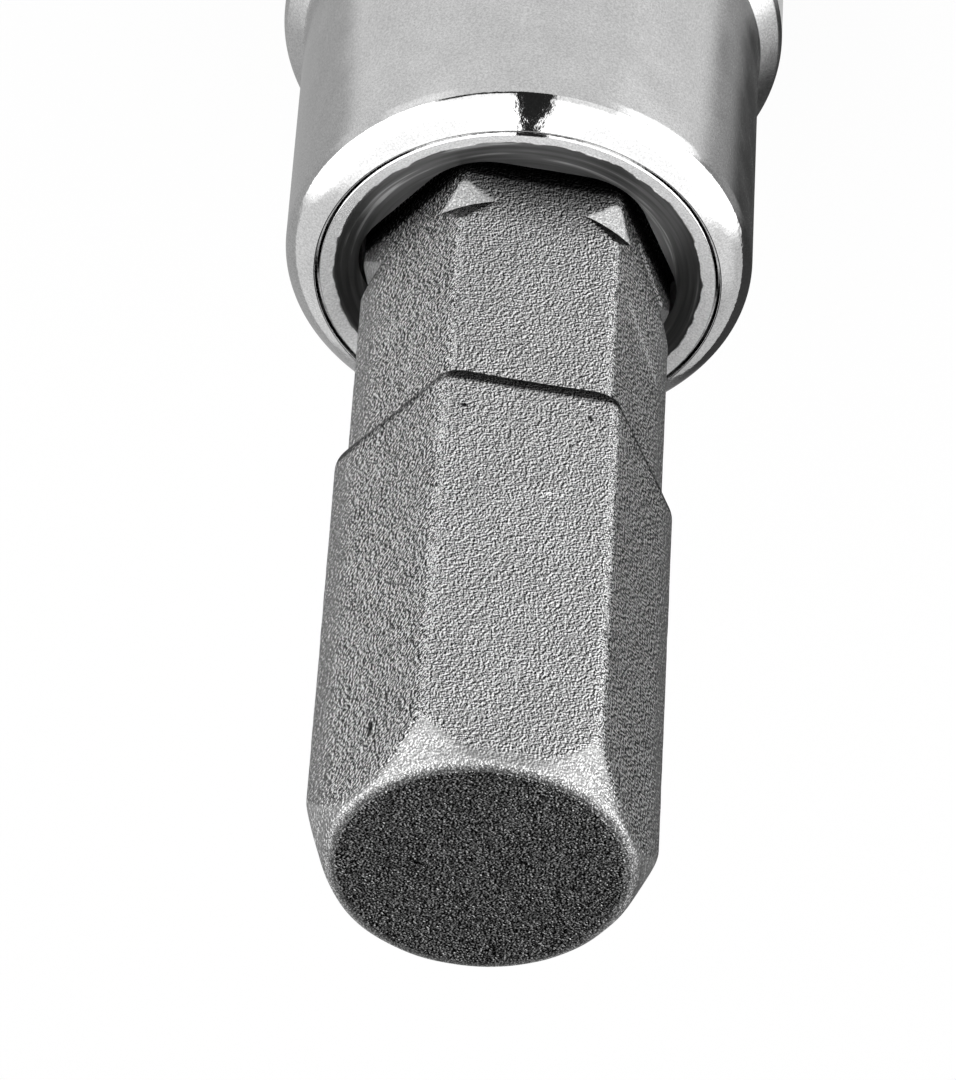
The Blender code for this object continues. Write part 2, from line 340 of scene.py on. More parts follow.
class Tree:
    """The node tree of one material. A value in it is an output socket or a constant."""

    def __init__(self, name):
        self.material = bpy.data.materials.new(name)
        self.material.use_nodes = True
        self.nodes = self.material.node_tree.nodes

    def feed(self, node, inputs):
        """Feeds inputs of a node, by name or place: a socket is linked, a constant is set."""
        for name, value in inputs.items():
            socket = node.inputs[name]
            if isinstance(value, bpy.types.NodeSocket):
                self.material.node_tree.links.new(value, socket)
            else:
                socket.default_value = value

    def add(self, kind, inputs=None, operation=None):
        """A new node with its inputs fed."""
        node = self.nodes.new(kind)
        if operation:
            node.operation = operation
        self.feed(node, inputs or {})
        return node

    def spread(self, value, low, high, new_low, new_high, clamp=True):
        """Maps a value from one range to another, and keeps it there unless clamp is off."""
        ranges = {"From Min": low, "From Max": high, "To Min": new_low, "To Max": new_high}
        node = self.add("ShaderNodeMapRange", {"Value": value, **ranges})
        node.clamp = clamp
        return node.outputs["Result"]

    def by_share(self, share, first, second):
        """A value that goes from first to second as a share goes from 0 to 1."""
        return self.spread(share, 0, 1, first, second)

    def by_noise(self, texture, low, high):
        """A value that follows a noise: low in its dark spots, high in its light ones."""
        return self.spread(texture, NOISE_LOW, NOISE_HIGH, low, high)

    def blended(self, share, first, second, kind="FLOAT"):
        """A value or colour between two, by a share from 0 to 1."""
        node = self.nodes.new("ShaderNodeMix")
        node.data_type = kind
        first_place, second_place, result = MIX_SOCKETS[kind]
        self.feed(node, {0: share, first_place: first, second_place: second})
        return node.outputs[result]

    def math(self, operation, *values):
        """Result of a calculation."""
        return self.add("ShaderNodeMath", dict(enumerate(values)), operation).outputs["Value"]

    def product(self, first, *others):
        """Product of several values."""
        for other in others:
            first = self.math("MULTIPLY", first, other)
        return first

    def vector(self, operation, *vectors, result="Vector"):
        """A vector calculated from vectors, or a number if the result is to be a Value."""
        return self.add("ShaderNodeVectorMath", dict(enumerate(vectors)), operation).outputs[result]

    def measure(self, operation, *vectors):
        """A number calculated from vectors."""
        return self.vector(operation, *vectors, result="Value")

    def scaled(self, vector, factor):
        """A vector or a colour times a factor."""
        inputs = {"Vector": vector, "Scale": factor}
        return self.add("ShaderNodeVectorMath", inputs, "SCALE").outputs["Vector"]

    def parts(self, vector):
        """X, Y and Z of a vector."""
        return self.add("ShaderNodeSeparateXYZ", {"Vector": vector}).outputs

    def joined(self, x, y, z):
        """A vector from its X, Y and Z."""
        return self.add("ShaderNodeCombineXYZ", {"X": x, "Y": y, "Z": z}).outputs["Vector"]

    def place(self):
        """A point in the object's own metres."""
        return self.add("ShaderNodeTexCoord").outputs["Object"]

    def position(self):
        """A point's distance from the axis and its height, in the object's own metres."""
        place = self.place()
        _, _, height = self.parts(place)
        return self.measure("LENGTH", self.vector("MULTIPLY", place, (1, 1, 0))), height

    def facing(self):
        """X, Y and Z of the direction a face looks in."""
        return self.parts(self.add("ShaderNodeNewGeometry").outputs["True Normal"])

    def texture(self, size, detail=2.0, roughness=0.5, place=None):
        """Noise whose features have a given size, at a given place or else in the object's own metres."""
        if place is None:
            place = self.place()
        inputs = {"Vector": place, "Scale": 1.0 / size, "Detail": detail, "Roughness": roughness}
        return self.add("ShaderNodeTexNoise", inputs).outputs["Fac"]

    def bump(self, height, distance):
        """A normal from a height between 0 and 1."""
        inputs = {"Height": height, "Distance": distance}
        return self.add("ShaderNodeBump", inputs).outputs["Normal"]

    def dress(self, inputs):
        """Feeds the inputs of the surface's shader."""
        self.feed(self.nodes["Principled BSDF"], inputs)


# Plating: sizes of its noises, then ranges of the noises and the shades or shares they give
CLOUD_SIZE = 1.6 * MM
SPECKLE_SIZE = 0.07 * MM
RIPPLE_SIZE = 0.2 * MM
RAGGED_SIZE = 0.7 * MM
RAGGED_REACH = (-1.5, 1.5)
EDGE_SOFTNESS = 0.25
CLOUD_SHADES = (0.95, 1.05)
SPECKLE_SHADES = (0.82, 1.18)
FROST_SHADES = (0.8, 1.2)
SATIN_SHARES = (0.8, 1.2)
SATIN_RIPPLE = 0.2
TURNED_ARC = 0.2
TURNED_PITCH = 0.2 * MM
TURNED_RANGE = (0.35, 0.65)
TURNED_SHADES = (0.7, 1.3)
# Painted glints on the steel inside the holes, drawn out along the turning marks
PAINTED_GLINT_RANGE = (0.58, 0.68)
PAINTED_GLINT_SHADES = (1, 2.4)


def times(factor, values):
    """Each of some values times a factor."""
    return [factor * value for value in values]


def beyond(start, steps):
    """Each of some steps counted from a start."""
    return [start + step for step in steps]


def nose_masks(tree, body):
    """Shares of the unplated recess, of the frosted ring around it and of the polished band around that."""
    out, height = tree.position()
    ragged = tree.by_share(tree.texture(RAGGED_SIZE, detail=4.0), *RAGGED_REACH)
    edge = tree.math("MULTIPLY_ADD", ragged, body.edge_wander, out)
    soft = EDGE_SOFTNESS * body.edge_wander
    recess = tree.spread(edge, body.ring_radius - soft, body.ring_radius + soft, 1, 0)
    ring_end = body.nose_radius - body.band_width - body.line_width
    inside = tree.spread(out, ring_end - soft, ring_end, 1, 0)
    mouth_floor = BODY_HIGH.z - body.mouth_depth
    at_mouth = tree.spread(height, mouth_floor - soft, mouth_floor, 0, 1)
    band_start = BODY_HIGH.z - body.band_height
    band = tree.spread(height, band_start - soft, band_start + soft, 0, 1)
    return recess, tree.product(inside, at_mouth), band


def turning_marks(tree):
    """Noise drawn out round the axis, as a lathe leaves it."""
    out, _ = tree.position()
    x, y, _ = tree.parts(tree.vector("NORMALIZE", tree.place()))
    steps = ((x, TURNED_ARC), (y, TURNED_ARC), (out, TURNED_PITCH))
    spot = [tree.spread(value, 0, step, 0, 1, clamp=False) for value, step in steps]
    return tree.texture(1.0, detail=3.0, place=tree.joined(*spot))


def plated_chrome(finish, body):
    """Satin plating with a polished band, frosted round the mouth, and dull steel inside the holes with
    painted glints.
    """
    tree = Tree("plated chrome")
    cloud = tree.texture(CLOUD_SIZE, detail=3.0)
    speckle = tree.texture(SPECKLE_SIZE)
    ripple = tree.texture(RIPPLE_SIZE, detail=3.0)
    recess, frost, band = nose_masks(tree, body)

    shade = tree.product(tree.by_noise(cloud, *CLOUD_SHADES), tree.by_noise(speckle, *SPECKLE_SHADES))
    matt = tree.scaled(finish.frost, tree.by_noise(speckle, *FROST_SHADES))
    plate = tree.blended(frost, tree.scaled(finish.chrome, shade), matt, "RGBA")
    turned = turning_marks(tree)
    marks = tree.spread(turned, *TURNED_RANGE, *TURNED_SHADES)
    # Painted glints: light streaks on the steel inside the holes
    painted_glints = tree.spread(turned, *PAINTED_GLINT_RANGE, *PAINTED_GLINT_SHADES)
    bare = tree.scaled(finish.recess, tree.product(marks, painted_glints))
    satin = tree.by_noise(cloud, *times(finish.satin_gloss, SATIN_SHARES))
    gloss = tree.blended(band, satin, finish.chrome_gloss)
    gloss = tree.blended(frost, gloss, finish.frost_gloss)
    metal = tree.blended(frost, 1.0, finish.frost_metal)
    waves = tree.product(ripple, tree.by_share(band, SATIN_RIPPLE, 1))
    tree.dress(
        {
            "Base Color": tree.blended(recess, plate, bare, "RGBA"),
            "Roughness": tree.blended(recess, gloss, finish.recess_gloss),
            "Metallic": tree.blended(recess, metal, 1.0),
            "Normal": tree.bump(waves, finish.band_ripple),
        }
    )
    return tree.material


# Blasted steel: its grain, its patches and its pits
GRAIN_DETAIL = (1.0, 0.6)
GRAIN_SHIFT = (0.5, 0.5, 0.32)
GRAIN_TILT = (0.3, 0.7)
GRAIN_GLOSS = (1.1, 0.9)
DARKEST_GRAIN = 0.05
FAINT_SHADES = (0.85, 1.15)
PATCH_SIZE = 1.8 * MM
PATCH_SHADES = (0.93, 1.07)
PIT_SPACING = 2.0 * MM
PIT_RADIUS = 0.07 * MM
PIT_SHADE = 0.1

# Painted shade on its sheltered faces: the lightness of each, with the tilts of a face or the distances
# between which each begins
UNDERSIDE_PAINTED_SHADE = 0.1
LEFT_UNDERSIDE_PAINTED_SHADE = 0.4
UNDERSIDE_TILT = (-0.16, -0.01)
LEFT_TILT = (-0.6, -0.3)
END_EDGE = (-0.02 * MM, 0.02 * MM)
# Painted shade on the shank inside the socket, near black just below the mouth as a painted shadow of the
# gap
INSIDE_PAINTED_SHADE = 0.6
MOUTH_PAINTED_SHADOW = 0.03
INSIDE_REACH = (-1.9 * MM, -0.7 * MM)
MOUTH_EDGE = (-0.05 * MM, 0.1 * MM)

# The flats to either side of the front and the back, which get a painted shade, and what is worn or pressed
# smooth or carries a painted highlight
SLANTED_TILT = (0.6, 0.9)
SLANTED_SQUEEZE = 0.65
SLANTED_ROUGHER = 0.85
SLANTED_PAINTED_SHADE = 0.71
CORNER_REACH = (0.6 * MM, 1.4 * MM)
CORNER_CALM = 0.75
# Painted highlight on the corners beside the front and the back flats
CORNER_PAINTED_HIGHLIGHT = 1.2
HIGHLIGHT_START = (0.1, 0.3)
HIGHLIGHT_END = (0.55, 0.75)
UPRIGHT_TILT = (0.3, 0.6)
RIM_CALM = 0.45
RIM_EDGE = (-0.02 * MM, 0.05 * MM)
RIM_START = (-0.7 * MM, -0.4 * MM)
FACET_START = (0.2, 0.3)
FACET_END = (0.7, 0.9)
NOTCH_TOP = (1.6 * MM, 1.7 * MM)
NOTCH_SHARE = 0.8
NOTCH_SHADES = (0.8, 1.2)
NOTCH_RELIEF = 0.4
# Painted highlight on the tip's chamfer, lighter towards its outer edge
CHAMFER_EDGE = (0, 0.5 * MM)
CHAMFER_HIGHLIGHT_SHADES = (0.8, 1.3)
CHAMFER_SHARES = (0.3, 0.7)

# Scratches and pits on the bit: start and end in millimetres, half width in millimetres, lightness. A
# lightness above 1 is a painted highlight on a scratch.
BIT_MARKS = (
    ((3.74, 2.81, 23.80), (4.82, 0.95, 24.31), 0.18, 16.0),
    ((3.39, 3.43, 27.25), (4.69, 1.17, 28.17), 0.18, 14.0),
    ((0.60, 5.00, 38.10), (1.20, 5.00, 38.05), 0.08, 1.9),
    ((-2.22, 5.00, 34.69), (-2.14, 5.00, 34.69), 0.09, 0.02),
    ((1.97, 5.00, 34.36), (2.02, 5.00, 34.45), 0.08, 0.04),
    ((-4.15, 2.81, 47.15), (-4.17, 2.78, 47.55), 0.12, 0.02),
    ((1.20, 0.61, 50.00), (1.28, 0.61, 50.00), 0.09, 0.05),
    ((-2.05, -0.17, 50.00), (-1.95, -0.17, 50.00), 0.09, 0.05),
)
MARK_EDGE = (0.5, 1.2)
SCRATCH_BREAKS = 0.12 * MM
SCRATCH_RANGE = (0.38, 0.56)


def pits(tree):
    """Sparse round pits: 1 in the middle of each, 0 outside."""
    cells = tree.add("ShaderNodeTexVoronoi", {"Vector": tree.place(), "Scale": 1.0 / PIT_SPACING})
    radius = PIT_RADIUS / PIT_SPACING
    return tree.spread(cells.outputs["Distance"], radius / 2, radius, 1, 0)


def painted_shade_of_faces(tree, finish, mouth):
    """Painted shade of the bit's faces: 1 on the flats, less on the end, on undersides and near the socket.
    """
    x, _, z = tree.facing()
    out, height = tree.position()
    # Painted shade on faces that tilt downwards, lighter where they face left
    underside = tree.spread(z, *UNDERSIDE_TILT, 1, 0)
    dark = tree.spread(x, *LEFT_TILT, LEFT_UNDERSIDE_PAINTED_SHADE, UNDERSIDE_PAINTED_SHADE)
    # Painted shade on the tip's flat face
    end = tree.spread(out, *beyond(finish.end_radius, END_EDGE), finish.end_painted_shade, 1)
    # Painted shade inside the socket and painted shadow at its mouth, then painted shade fading out above
    # the mouth
    inside_painted_shade = tree.spread(height, *beyond(mouth, INSIDE_REACH), INSIDE_PAINTED_SHADE, MOUTH_PAINTED_SHADOW)
    shown = tree.spread(height, mouth, mouth + finish.mouth_fade, finish.mouth_painted_shade, 1)
    outside = tree.spread(height, *beyond(mouth, MOUTH_EDGE), 0, 1)
    return tree.product(tree.blended(underside, 1.0, dark), end, tree.blended(outside, inside_painted_shade, shown))


def facets(tree, mouth):
    """Shares of the notches' pressed facets and of the tip's burnished chamfer, smoother and brighter; the
    chamfer's extra brightness is a painted highlight.
    """
    _, _, z = tree.facing()
    _, height = tree.position()
    upward = tree.product(
        tree.spread(z, *FACET_START, 0, 1),
        tree.spread(z, *FACET_END, 1, 0),
        tree.spread(height, mouth, mouth + MOUTH_EDGE[1], 0, 1),
    )
    is_notch = tree.spread(height, *beyond(mouth, NOTCH_TOP), 1, 0)
    is_tip = tree.by_share(is_notch, 1, 0)
    return tree.product(upward, is_notch), tree.product(upward, is_tip)


def worn_and_highlit_corners(tree):
    """Shares of the hexagon's outer corners, worn smooth, and of its front and back ones, which carry a
    painted highlight.
    """
    x, _, z = tree.facing()
    _, y, _ = tree.parts(tree.place())
    outer = tree.spread(tree.math("ABSOLUTE", y), *CORNER_REACH, 1, 0)
    upright = tree.spread(z, *UPRIGHT_TILT, 1, 0)
    turned = tree.math("ABSOLUTE", x)
    rise = tree.spread(turned, *HIGHLIGHT_START, 0, 1)
    fall = tree.spread(turned, *HIGHLIGHT_END, 1, 0)
    return tree.product(outer, upright), tree.product(rise, fall)


def tip_rim(tree, end_radius):
    """Share of the rounded rim of the tip, from the edge of its flat face outwards."""
    out, height = tree.position()
    outside = tree.spread(out, *beyond(end_radius, RIM_EDGE), 0, 1)
    return tree.product(outside, tree.spread(height, *beyond(BIT_HIGH.z, RIM_START), 0, 1))


def mark(tree, start, end, half_width):
    """Share of a scratch or pit: 1 on the line between two points, 0 beside it."""
    way = end - start
    ahead = way.normalized()
    offset = tree.vector("SUBTRACT", tree.place(), start)
    along = tree.spread(tree.measure("DOT_PRODUCT", offset, ahead), 0, way.length, 0, way.length)
    gap = tree.measure("DISTANCE", offset, tree.scaled(ahead, along))
    return tree.spread(gap, *times(half_width, MARK_EDGE), 1, 0)


def marks_on_bit(tree):
    """Lightness of each scratch and pit, 1 beside it. The light ones are painted highlights on scratches,
    broken up.
    """
    broken = tree.spread(tree.texture(SCRATCH_BREAKS), *SCRATCH_RANGE, 0, 1)
    factors = []
    for start, end, half_width, lightness in BIT_MARKS:
        share = mark(tree, Vector(start) * MM, Vector(end) * MM, half_width * MM)
        if lightness > 1:
            share = tree.product(share, broken)
        factors.append(tree.by_share(share, 1, lightness))
    return factors


def grain_places(tree, size):
    """Where the grain is read: at a point and a little beside it. Slanted flats have it drawn out."""
    x, _, _ = tree.facing()
    share = tree.spread(tree.math("ABSOLUTE", x), *GRAIN_TILT, 1, SLANTED_SQUEEZE)
    own = tree.vector("MULTIPLY", tree.place(), tree.joined(share, share, 1.0))
    along, across, up = times(size, GRAIN_SHIFT)
    shift = tree.joined(along, tree.spread(x, -1, 1, across, -across), up)
    return own, tree.vector("ADD", own, shift)


def painted_grain_shading(tree, grain, beside, contrast):
    """Painted light and shade of a grain, with one side of each grain lit and the other shaded: around 1."""
    slope = tree.math("SUBTRACT", grain, beside)
    shade = tree.spread(slope, -0.5, 0.5, 1 - 0.5 * contrast, 1 + 0.5 * contrast)
    return tree.math("MAXIMUM", shade, DARKEST_GRAIN)


def blasted_steel(finish, tip_face):
    """Grit-blasted tool steel: a dense matt grain with its lit and shaded sides painted, a few pits and soft
    changes of shade, and painted shade and highlights on some faces.
    """
    tree = Tree("blasted steel")
    places = grain_places(tree, finish.steel_grain)
    grain, beside = [tree.texture(finish.steel_grain, *GRAIN_DETAIL, place) for place in places]
    painted_grain_light = painted_grain_shading(tree, grain, beside, finish.steel_contrast)
    painted_shade = painted_shade_of_faces(tree, finish, BODY_HIGH.z)
    smooth_corner, corner_highlight = worn_and_highlit_corners(tree)
    rim = tip_rim(tree, finish.end_radius)
    notch, chamfer = facets(tree, BODY_HIGH.z)
    _, y, _ = tree.facing()
    slanted = tree.spread(tree.math("ABSOLUTE", y), *SLANTED_TILT, 1, 0)
    # Painted shade on the flats to either side of the front and the back
    darker = tree.by_share(slanted, 1, SLANTED_PAINTED_SHADE)
    faint = tree.by_noise(grain, *FAINT_SHADES)

    shade = tree.product(
        painted_grain_light,
        tree.blended(tree.by_share(slanted, 0, SLANTED_ROUGHER), 1.0, painted_grain_light),
        darker,
        # Painted highlight along the corners beside the front and the back flats
        tree.by_share(corner_highlight, 1, CORNER_PAINTED_HIGHLIGHT),
        tree.by_noise(tree.texture(PATCH_SIZE, detail=3.0), *PATCH_SHADES),
        tree.by_share(pits(tree), 1, PIT_SHADE),
        painted_shade,
        *marks_on_bit(tree),
    )
    calm = tree.by_share(smooth_corner, 0, CORNER_CALM)
    shade = tree.blended(calm, shade, tree.product(faint, darker, painted_shade))
    shade = tree.blended(tree.by_share(rim, 0, RIM_CALM), shade, tree.product(faint, painted_shade))
    pressed = tree.by_noise(grain, *times(finish.notch_shade, NOTCH_SHADES))
    shade = tree.blended(tree.by_share(notch, 0, NOTCH_SHARE), shade, pressed)
    # Painted highlight: the burnished chamfer gets lighter towards its outer edge
    out, _ = tree.position()
    outer = tree.spread(out, *beyond(tip_face, CHAMFER_EDGE), 0, 1)
    burnished = tree.product(faint, tree.by_share(outer, *times(finish.chamfer_shade, CHAMFER_HIGHLIGHT_SHADES)))
    share = tree.product(chamfer, tree.by_share(outer, *CHAMFER_SHARES))
    shade = tree.blended(share, shade, burnished)

    relief = tree.product(
        grain, tree.by_share(notch, 1, NOTCH_RELIEF), tree.by_share(rim, 1, 1 - RIM_CALM)
    )
    tree.dress(
        {
            "Base Color": tree.scaled(finish.steel, shade),
            # The painted shade also dims the tint of the bit's reflections
            "Specular Tint": tree.scaled((1, 1, 1), painted_shade),
            "Roughness": tree.by_noise(grain, *times(finish.steel_gloss, GRAIN_GLOSS)),
            "Metallic": 1.0,
            "Normal": tree.bump(relief, finish.steel_relief),
        }
    )
    return tree.material


# Spring wire: size and depth of its drawing marks, then the shades and the roughness they give
DRAWN_SIZE = 0.2 * MM
DRAWN_DEPTH = 0.003 * MM
DRAWN_SHADES = (0.85, 1.1)
DRAWN_GLOSS = (0.22, 0.38)


def drawn_wire(finish):
    """Spring wire with faint drawing marks."""
    tree = Tree("drawn wire")
    marks = tree.texture(DRAWN_SIZE, detail=4.0)
    tree.dress(
        {
            "Base Color": tree.scaled(finish.wire, tree.by_noise(marks, *DRAWN_SHADES)),
            "Roughness": tree.by_noise(marks, *DRAWN_GLOSS),
            "Metallic": 1.0,
            "Normal": tree.bump(marks, DRAWN_DEPTH),
        }
    )
    return tree.material


# Pieces

FLAT_STEPS = 40
CORNER_STEPS = 10
TIP_ROWS = 40
STEP_ROWS = 26
BLADE_ROWS = 60
SHANK_ROWS = 40
NOTCH_ROWS = 14
FACE_RINGS = 24
RING_STEPS = 120
WIRE_STEPS = 24
END_STEPS = 7
END_LEAST = 0.12
CHAMFER_REACH = 2.2 * MM
RAMP_MARGIN = 1.2
OUT_OF_REACH = 20 * MM
SHANK_SHARPER = 6
BLAST_SIZE = 0.9 * MM
EDGE_WAVES = 3
EDGE_SEED = 0.4


def body_profile(s):
    """Cross-section of the round work on the body: outside, then the mouth, the bore and the drive end."""
    top = BODY_HIGH.z
    outer = BODY_HIGH.x
    shoulder = top - s.nose_length
    bore_core = s.bore / 2 - s.drill_allowance
    face = s.nose_radius - s.band_width
    bevel = math.hypot(s.band_width, s.band_height)
    bulge_r = s.nose_radius - s.band_width / 2 + s.band_bulge * s.band_height / bevel
    bulge_z = top - s.band_height / 2 + s.band_bulge * s.band_width / bevel
    ring_start = face - s.line_width
    ring_floor = top - (ring_start - s.ring_radius) * math.tan(s.ring_slope)
    mouth_edge = ring_floor - (s.ring_radius - bore_core) * math.tan(s.mouth_slope)
    clearance = s.drill_allowance / 3
    groove = RING_HIGH.y + clearance
    groove_half = (RING_HIGH.z - RING_LOW.z) / 2 + clearance
    groove_middle = (RING_HIGH.z + RING_LOW.z) / 2
    square_core = s.square / 2 - s.drill_allowance
    detent_half = s.detent_width / 2
    return [
        (s.lead_in, 0, s.soft_edge),
        (outer, 0, s.drive_edge),
        (outer, shoulder, s.shoulder_edge),
        (s.nose_radius, shoulder + s.shoulder_rise, s.shoulder_root),
        (s.nose_radius, top - s.band_height, s.band_edge),
        (bulge_r, bulge_z, s.band_round),
        (face, top, s.soft_edge / 2),
        (face - s.line_width / 2, top - s.line_depth),
        (ring_start, top, s.soft_edge / 4),
        (s.ring_radius, ring_floor, s.soft_edge / 2),
        (bore_core, mouth_edge),
        (bore_core, groove_middle + groove_half),
        (groove, groove_middle + groove_half),
        (groove, groove_middle - groove_half),
        (bore_core, groove_middle - groove_half),
        (bore_core, s.bore_floor - s.drill_allowance),
        (s.knock_out, s.bore_floor - s.drill_allowance),
        (s.knock_out, s.square_depth + s.drill_allowance),
        (square_core, s.square_depth + s.drill_allowance),
        (square_core, s.detent_height + detent_half),
        (s.detent_radius, s.detent_height + detent_half),
        (s.detent_radius, s.detent_height - detent_half),
        (square_core, s.detent_height - detent_half),
        (square_core, s.lead_in - square_core),
    ]


def make_body(settings):
    """The turned body, with its hexagonal bore and square drive hole broached."""
    s = settings.body
    loops = []
    for r, z in rounded(body_profile(s)):
        at_mouth = abs(r - s.ring_radius) < 2 * s.soft_edge and BODY_HIGH.z - z < s.mouth_depth / 2
        loop = []
        for step in range(TURN_STEPS):
            turn = 2 * math.pi * step / TURN_STEPS
            wander = 0.0
            if at_mouth:
                spot = (EDGE_WAVES * math.cos(turn), EDGE_WAVES * math.sin(turn), EDGE_SEED)
                wander = s.edge_wander * noise.noise(spot)
            loop.append(((r + wander) * math.cos(turn), (r + wander) * math.sin(turn), z))
        loops.append(loop)
    bm, _ = bridged(loops, closed=True)
    body = placed("plated_body", bm)
    over = s.drill_allowance
    mouth_floor = BODY_HIGH.z - s.mouth_depth
    hexagon = placed("hexagon", bar(HEXAGON, s.bore, 0, s.bore_floor, mouth_floor + over))
    mouth = placed("mouth", bar(HEXAGON, s.mouth, s.mouth_corner, mouth_floor, BODY_HIGH.z + over))
    drive = bar(SQUARE, s.square, s.square_corner, -over, s.square_depth, math.pi / SQUARE)
    square = placed("square", drive)
    cut(body, [hexagon, mouth, square])
    finish_piece(body, plated_chrome(settings.finish, s), "socket", "socket_body")
    return body


def hexagon_turns(across_flats, corner_radius):
    """Polar angles round a hexagon with corners on X: close together at the corners, wider on the flats."""
    half_turn = math.pi / HEXAGON
    centre = (across_flats / 2 - corner_radius) / math.cos(half_turn)
    half_flat = centre * math.sin(half_turn)
    turns = []
    for corner in range(HEXAGON):
        middle = 2 * half_turn * corner
        for step in range(CORNER_STEPS):
            turn = half_turn * (2 * step / CORNER_STEPS - 1)
            across = corner_radius * math.sin(turn)
            turns.append(middle + math.atan2(across, centre + corner_radius * math.cos(turn)))
        for step in range(FLAT_STEPS):
            along = -half_flat * math.cos(math.pi * step / FLAT_STEPS)
            turns.append(middle + half_turn + math.atan2(along, across_flats / 2))
    return turns


def hexagon_reach(turn, across_flats, corner_radius):
    """Distance from the axis to a rounded hexagon with corners on X, at a polar angle."""
    half_turn = math.pi / HEXAGON
    off = abs((turn + half_turn) % (2 * half_turn) - half_turn)
    centre = (across_flats / 2 - corner_radius) / math.cos(half_turn)
    tangent = math.atan2(corner_radius * math.sin(half_turn), centre + corner_radius * math.cos(half_turn))
    if off < tangent:
        return centre * math.cos(off) + math.sqrt(corner_radius**2 - (centre * math.sin(off)) ** 2)
    return across_flats / 2 / math.cos(half_turn - off)


def soft_least(first, second, width):
    """The lesser of two lengths, with a rounded change from one to the other."""
    share = max(width - abs(first - second), 0.0) / width
    return min(first, second) - share * share * width / 4


def tip_rows(s):
    """Heights and radii of the lathe's cut at the tip, from below the chamfer to the flat face."""
    top = BIT_HIGH.z
    slope = math.tan(s.tip_slope)
    rim = s.tip_edge * math.tan(s.tip_slope / 2)
    fillet_start = top - s.tip_edge * (1 - math.cos(s.tip_slope))
    rows = []
    for z in between(top - CHAMFER_REACH, fillet_start, TIP_ROWS):
        rows.append((z, s.tip_face + (top - z) / slope))
    for step in range(ARC_STEPS + 1):
        turn = s.tip_slope * (1 - step / ARC_STEPS)
        z = top - s.tip_edge * (1 - math.cos(turn))
        rows.append((z, s.tip_face - rim + s.tip_edge * math.sin(turn)))
    return rows


def ramp_length(s):
    """Length along the axis of the rounded ramp from the shank's flats up to the blade's."""
    rise = (s.blade - s.shank) / 2
    return math.sqrt(2 * s.step_edge * rise - rise * rise)


def ramp_drop(s, above):
    """How far the blade's flats lie below their full size at a height above the step."""
    left = max(ramp_length(s) - above, 0.0)
    return s.step_edge - math.sqrt(s.step_edge**2 - left * left)


def bit_rows(s):
    """Rows of the bit from its inner end to the rim of its tip, as (height, turned radius, is blade)."""
    inner = BIT_LOW.z
    step_z = BIT_HIGH.z - s.blade_length
    notch = BODY_HIGH.z + s.notch_offset
    shank_reach = hexagon_reach(0.0, s.shank, s.shank_corner)
    depth = shank_reach - s.notch_root
    rows = [(inner, shank_reach - s.shank_chamfer, False)]
    for z in between(inner + s.shank_chamfer, notch - s.notch_long, SHANK_ROWS):
        rows.append((z, OUT_OF_REACH, False))
    for z in between(notch - s.notch_long, notch, NOTCH_ROWS):
        rows.append((z, s.notch_root + depth * (notch - z) / s.notch_long, False))
    for z in between(notch, notch + s.notch_short, NOTCH_ROWS // 2):
        rows.append((z, s.notch_root + depth * (z - notch) / s.notch_short, False))
    for z in between(notch + s.notch_short, step_z, SHANK_ROWS):
        rows.append((z, OUT_OF_REACH, False))
    rows.append((step_z, OUT_OF_REACH, False))
    ramp_end = step_z + RAMP_MARGIN * ramp_length(s)
    for z in between(step_z, ramp_end, STEP_ROWS):
        rows.append((z, s.step_face + (z - step_z) / math.tan(s.step_slope), True))
    tip = tip_rows(s)
    for z in between(ramp_end, tip[0][0], BLADE_ROWS):
        rows.append((z, OUT_OF_REACH, True))
    rows.extend((z, r, True) for z, r in tip)
    return rows


def make_bit(settings):
    """The bit: a hexagonal blade with a chamfered tip, a step, and a notched shank."""
    s = settings.bit
    step_z = BIT_HIGH.z - s.blade_length
    turns = hexagon_turns(s.blade, s.blade_corner)
    loops = []
    for z, turned, is_blade in bit_rows(s):
        flats, corner = (s.blade, s.blade_corner) if is_blade else (s.shank, s.shank_corner)
        drop = ramp_drop(s, z - step_z) if is_blade else 0.0
        softness = s.blast_rounding if is_blade else s.blast_rounding / SHANK_SHARPER
        loop = []
        for turn in turns:
            reach = soft_least(hexagon_reach(turn, flats, corner) - drop, turned, softness)
            spot = Vector((math.cos(turn), math.sin(turn), 0)) * reach + Vector((0, 0, z))
            reach += s.blast_wander * noise.noise(spot / BLAST_SIZE)
            loop.append((reach * math.cos(turn), reach * math.sin(turn), z))
        loops.append(loop)
    rim = loops[-1]
    for ring in range(1, FACE_RINGS):
        share = 1 - ring / FACE_RINGS
        loops.append([(x * share, y * share, BIT_HIGH.z) for x, y, _ in rim])
    bm, rings = bridged(loops, closed=False)
    for ring, z in ((rings[0], BIT_LOW.z), (rings[-1], BIT_HIGH.z)):
        middle = bm.verts.new((0, 0, z))
        for index in range(len(ring)):
            bm.faces.new((ring[index], ring[(index + 1) % len(ring)], middle))
    bit = placed("blasted_bit", bm)
    finish_piece(bit, blasted_steel(settings.finish, s.tip_face), "bit", "hex_bit")
    return bit


